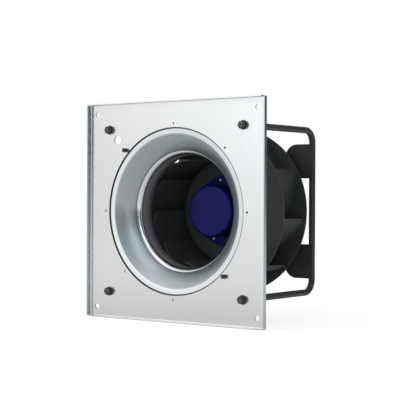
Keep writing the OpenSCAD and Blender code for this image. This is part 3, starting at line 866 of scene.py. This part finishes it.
def black_coat():
    """Black powder coat with a fine peel, a little dust and rubbed edges, bare on the studs' threads."""
    material, tree, shader = new_material("black_coat")
    at = place(tree)
    peel = noise(tree, at, scale=700.0)
    dust = noise(tree, at, scale=22.0, detail=6.0, roughness=0.65)
    scuffs = spread(tree, noise(tree, at, scale=160.0, detail=4.0), 0.0, 0.7, start=0.45, end=0.65)
    stud = maths(tree, "LESS_THAN", axes_of(tree, at)["Y"], 0.0)
    rubbed = times(tree, edges(tree, radius=0.8 * MM), maths(tree, "MAXIMUM", scuffs, stud))
    bare = blend(tree, stud, COAT_RUBBED, STUD_RUBBED)
    connect(tree, shader, Base_Color=blend(tree, rubbed, mottle(tree, dust, COAT), bare),
            Roughness=spread(tree, dust, 0.38, 0.50))
    bump(tree, shader, peel, distance=0.06 * MM, strength=0.5)
    return material


def black_plastic():
    """Glass-filled moulded plastic with a fine grain, slow flow marks and paler edges."""
    material, tree, shader = new_material("black_plastic")
    at = place(tree)
    grain = noise(tree, at, scale=1500.0, detail=2.0)
    along = stretched(tree, at, scale=(30.0, 9.0, 30.0))
    flow = noise(tree, along, scale=1.0, detail=5.0, roughness=0.6)
    edge = edges(tree, radius=0.6 * MM)
    connect(tree, shader, Base_Color=blend(tree, edge, mottle(tree, flow, PLASTIC), PLASTIC_EDGE),
            Roughness=spread(tree, flow, 0.46, 0.58), Specular_IOR_Level=0.35)
    bump(tree, shader, grain, distance=0.05 * MM, strength=0.5)
    return material


def shroud_plastic():
    """The same plastic with a warmer, duller skin."""
    material, tree, shader = new_material("shroud_plastic")
    at = place(tree)
    grain = noise(tree, at, scale=1500.0, detail=2.0)
    flow = noise(tree, polar(tree, at), scale=60.0, detail=5.0, roughness=0.6)
    connect(tree, shader, Base_Color=mottle(tree, flow, SHROUD),
            Roughness=spread(tree, flow, 0.55, 0.66), Specular_IOR_Level=0.3)
    bump(tree, shader, grain, distance=0.05 * MM, strength=0.5)
    return material


def rotor_paint():
    """Deep blue paint, a little glossy, with a fine peel."""
    material, tree, shader = new_material("rotor_paint")
    at = place(tree)
    peel = noise(tree, at, scale=450.0, detail=2.0)
    cloud = noise(tree, at, scale=18.0, detail=4.0)
    edge = edges(tree, radius=0.8 * MM)
    connect(tree, shader, Base_Color=blend(tree, edge, mottle(tree, cloud, BLUE), BLUE_EDGE),
            Roughness=spread(tree, cloud, 0.34, 0.42), Specular_IOR_Level=0.15)
    bump(tree, shader, peel, distance=0.04 * MM, strength=0.4)
    return material


def black_oxide():
    """Blackened fasteners with bright edges, partly wear and partly painted highlight standing in for
    glints.
    """
    material, tree, shader = new_material("black_oxide")
    turn = noise(tree, place(tree), scale=400.0)
    edge = edges(tree, radius=0.5 * MM)
    connect(tree, shader, Base_Color=blend(tree, edge, mottle(tree, turn, OXIDE), OXIDE_GLINT_AND_WEAR),
            Roughness=spread(tree, turn, 0.16, 0.24), Metallic=0.3)
    bump(tree, shader, turn, distance=0.02 * MM, strength=0.4)
    return material


def cast_alloy():
    """Sand-blasted die casting with brighter edges."""
    material, tree, shader = new_material("cast_alloy")
    at = place(tree)
    blast = noise(tree, at, scale=1300.0)
    skin = noise(tree, at, scale=28.0, detail=5.0)
    edge = edges(tree, radius=0.7 * MM)
    connect(tree, shader, Base_Color=blend(tree, edge, mottle(tree, skin, CAST), CAST_EDGE),
            Roughness=spread(tree, skin, 0.42, 0.55), Metallic=1.0)
    bump(tree, shader, blast, distance=0.06 * MM, strength=0.6)
    return material


def metal(name, colours, rough):
    """Plain machined or plated metal, with a range of roughness."""
    material, tree, shader = new_material(name)
    at = place(tree)
    turn = noise(tree, at, scale=400.0)
    stain = noise(tree, at, scale=60.0, detail=4.0)
    connect(tree, shader, Base_Color=mottle(tree, stain, colours),
            Roughness=spread(tree, turn, *rough), Metallic=1.0)
    bump(tree, shader, turn, distance=0.02 * MM, strength=0.4)
    return material


def dull(name, colours, rough, scale):
    """Plain non-metal with a fine grain and a range of roughness."""
    material, tree, shader = new_material(name)
    grain = noise(tree, place(tree), scale)
    connect(tree, shader, Base_Color=mottle(tree, grain, colours), Roughness=spread(tree, grain, *rough))
    bump(tree, shader, grain, distance=0.04 * MM, strength=0.5)
    return material


FINISH = [
    (zinc_sheet(), ["folded_plate"]),
    (spun_zinc(), ["spun_nozzle"]),
    (black_coat(), ["left_bent_bar", "right_bent_bar", "motor_carrier"]),
    (black_oxide(), ["stud_nuts", "stud_washers", "bell_screws", "bell_nuts"]),
    (black_plastic(), ["impeller_backplate"] + [name for name in nodes if name.startswith("blade_")]),
    (shroud_plastic(), ["flared_shroud"]),
    (rotor_paint(), ["rotor_cup"]),
    (cast_alloy(), ["motor_housing", "bearing_tube", "rear_cover"]),
    (metal("bright_zinc", BRIGHT_STEEL, rough=(0.22, 0.34)),
     ["base_screws", "flange_screws", "motor_bolts", "lid_screws"]),
    (metal("ground_steel", GROUND_STEEL, rough=(0.14, 0.24)),
     ["shaft", "retaining_ring", "front_bearing_outer", "rear_bearing_outer",
      "front_bearing_inner", "rear_bearing_inner", "bearing_balls"]),
    (metal("laminations", LAMINATION, rough=(0.40, 0.55)), ["stator_core"]),
    (metal("copper", COPPER, rough=(0.25, 0.40)), ["stator_windings"]),
    (dull("magnet", MAGNET, rough=(0.45, 0.60), scale=600.0), ["rotor_magnets"]),
    (dull("board", BOARD, rough=(0.35, 0.45), scale=300.0), ["circuit_board"]),
    (dull("rubber", RUBBER, rough=(0.70, 0.85), scale=800.0), ["cover_seal"]),
    (dull("gland_plastic", GLAND, rough=(0.42, 0.55), scale=900.0), ["fluted_gland"]),
]


def paint(obj, material):
    obj.data.materials.clear()
    obj.data.materials.append(material)


by_name = {**nodes, **{piece.name: piece for piece in new_pieces}}
for material, names in FINISH:
    for name in names:
        paint(by_name[name], material)


# Stage, light and camera

# Floor: the glow that the camera sees, that metal sees between two distances, and that matt faces get
FLOOR_REACH = 6.0
FLOOR_SEEN = 0.80
FLOOR_NEAR = 0.38
FLOOR_FAR = 0.52
FLOOR_SPAN = (0.35, 1.1)
FLOOR_BOUNCE = 0.5

# Studio: the glow that the camera sees, the light that matt faces get, and what metal sees: a wall that
# brightens towards one side, a screen in front, and a band along a great circle. A span is where a part
# of it starts and ends.
BACKGROUND_SEEN = 1.0
ROOM_LIGHT = 0.7
WALL_SIDE = Vector((-0.702, -0.201, 0.683))
WALL_DIM = 0.10
WALL_BRIGHT = 0.98
WALL_SPAN = (-0.3, 0.97)
DIM_TINT = (0.84, 0.95, 1.0)
DIM_SPAN = (0.2, 0.7)
SCREEN_SIDE = Vector((0.050, -0.901, 0.431))
SCREEN_GLOW = 0.75
SCREEN_SPAN = (0.64, 0.80)
SCREEN_X_SPAN = (-0.4, 0.15)
BAND_ACROSS = Vector((0.473, 0.828, 0.302))
BAND_GLOW = 1.1
BAND_SPAN = (0.06, 0.12)
BAND_X_SPAN = (-0.2, 0.1)
BAND_Z_SPAN = (0.2, 0.5)

# Camera: angles in degrees, distance in metres, sensor in millimetres, and the photo's size, focal length
# and origin in pixels
CAMERA_AZIMUTH = 37.412
CAMERA_ELEVATION = 0.748
CAMERA_ROLL = 0.206
CAMERA_DISTANCE = 2.1828
SENSOR_WIDTH = 36
PHOTO_SIZE = 400
PHOTO_FOCAL = 1207.09
PHOTO_ORIGIN = (174.195, 211.484)


def ray_kinds(tree):
    """Whether a ray comes from the camera, off metal or through glass, or off a matt face."""
    path = add(tree, "ShaderNodeLightPath").outputs
    camera = path["Is Camera Ray"]
    glossy = maths(tree, "MAXIMUM", path["Is Glossy Ray"], path["Is Transmission Ray"])
    matt = minus(tree, 1.0, maths(tree, "MAXIMUM", camera, glossy))
    return camera, glossy, matt


def by_ray(tree, kinds, strengths):
    """Strength that each kind of ray sees."""
    camera, glossy, matt = (times(tree, *pair) for pair in zip(kinds, strengths))
    return plus(tree, plus(tree, camera, glossy), matt)


def make_floor():
    bm = bmesh.new()
    bmesh.ops.create_grid(bm, x_segments=1, y_segments=1, size=FLOOR_REACH)
    floor = new_object("floor", bm)
    floor.location.z = cad_box[0][2]
    material, tree, shader = new_material("floor")
    at = place(tree)
    in_metal = spread(tree, distance_of(tree, at), FLOOR_NEAR, FLOOR_FAR, *FLOOR_SPAN)
    glow = by_ray(tree, ray_kinds(tree), (FLOOR_SEEN, in_metal, FLOOR_BOUNCE))
    connect(tree, shader, Base_Color=blend(tree, noise(tree, at, scale=3.0), *FLOOR), Roughness=0.9,
            Specular_IOR_Level=0.0, Emission_Color=opaque(WHITE), Emission_Strength=glow)
    paint(floor, material)


def make_world():
    """White behind the object; metal sees a studio that is bright on one side and dim on the other."""
    world = bpy.data.worlds.new("studio")
    bpy.context.scene.world = world
    world.use_nodes = True
    tree = world.node_tree
    direction = add(tree, "ShaderNodeTexCoord").outputs["Generated"]
    axes = axes_of(tree, direction)
    wall = dot(tree, direction, WALL_SIDE)
    screen = spread(tree, dot(tree, direction, SCREEN_SIDE), 0.0, SCREEN_GLOW, *SCREEN_SPAN)
    screen = times(tree, screen, fall(tree, axes["X"], *SCREEN_X_SPAN))
    band = spread(tree, absolute(tree, dot(tree, direction, BAND_ACROSS)), BAND_GLOW, 0.0, *BAND_SPAN)
    band = times(tree, band, rise(tree, axes["X"], *BAND_X_SPAN))
    band = times(tree, band, rise(tree, axes["Z"], *BAND_Z_SPAN))
    studio = plus(tree, spread(tree, wall, WALL_DIM, WALL_BRIGHT, *WALL_SPAN), screen)
    studio = plus(tree, studio, band)
    camera, glossy, matt = ray_kinds(tree)
    dim = times(tree, glossy, fall(tree, wall, *DIM_SPAN))
    connect(tree, tree.nodes["Background"], Color=blend(tree, dim, WHITE, DIM_TINT),
            Strength=by_ray(tree, (camera, glossy, matt), (BACKGROUND_SEEN, studio, ROOM_LIGHT)))


def make_light(name, at, size, power, seen_in_metal):
    """Soft lamp aimed at the frame's origin."""
    data = bpy.data.lights.new(name, "AREA")
    data.shape = "RECTANGLE"
    data.size, data.size_y = size
    data.energy = power
    lamp = bpy.data.objects.new(name, data)
    lamp.visible_glossy = seen_in_metal
    lamp.location = at
    lamp.rotation_euler = (-Vector(at)).to_track_quat("-Z", "Y").to_euler()
    bpy.context.scene.collection.objects.link(lamp)


def make_camera():
    """Camera fitted to the holes and corners of the plate, aimed at the frame's origin."""
    azimuth, elevation, roll = (math.radians(a) for a in (CAMERA_AZIMUTH, CAMERA_ELEVATION, CAMERA_ROLL))
    right = Vector((math.cos(azimuth), math.sin(azimuth), 0))
    back = Vector((math.sin(azimuth) * math.cos(elevation), -math.cos(azimuth) * math.cos(elevation),
                   math.sin(elevation)))
    up = back.cross(right)
    turned_right = math.cos(roll) * right + math.sin(roll) * up
    turned_up = math.cos(roll) * up - math.sin(roll) * right
    data = bpy.data.cameras.new("photo_camera")
    data.sensor_width = SENSOR_WIDTH
    data.lens = SENSOR_WIDTH * PHOTO_FOCAL / PHOTO_SIZE
    data.shift_x = 0.5 - PHOTO_ORIGIN[0] / PHOTO_SIZE
    data.shift_y = PHOTO_ORIGIN[1] / PHOTO_SIZE - 0.5
    camera = bpy.data.objects.new("photo_camera", data)
    axes = Matrix((turned_right, turned_up, back)).transposed().to_4x4()
    camera.matrix_world = Matrix.Translation(CAMERA_DISTANCE * back) @ axes
    bpy.context.scene.collection.objects.link(camera)
    bpy.context.scene.camera = camera


make_floor()
make_world()
make_light("key", at=(-1.3, -1.6, 1.5), size=(1.2, 1.2), power=22, seen_in_metal=False)
make_light("fill", at=(0.8, -1.9, 0.3), size=(1.2, 0.8), power=6, seen_in_metal=False)
make_light("strip", at=(1.45, -1.15, 0.75), size=(0.10, 2.8), power=2.5, seen_in_metal=True)
make_camera()
bpy.context.scene.view_settings.view_transform = "Standard"
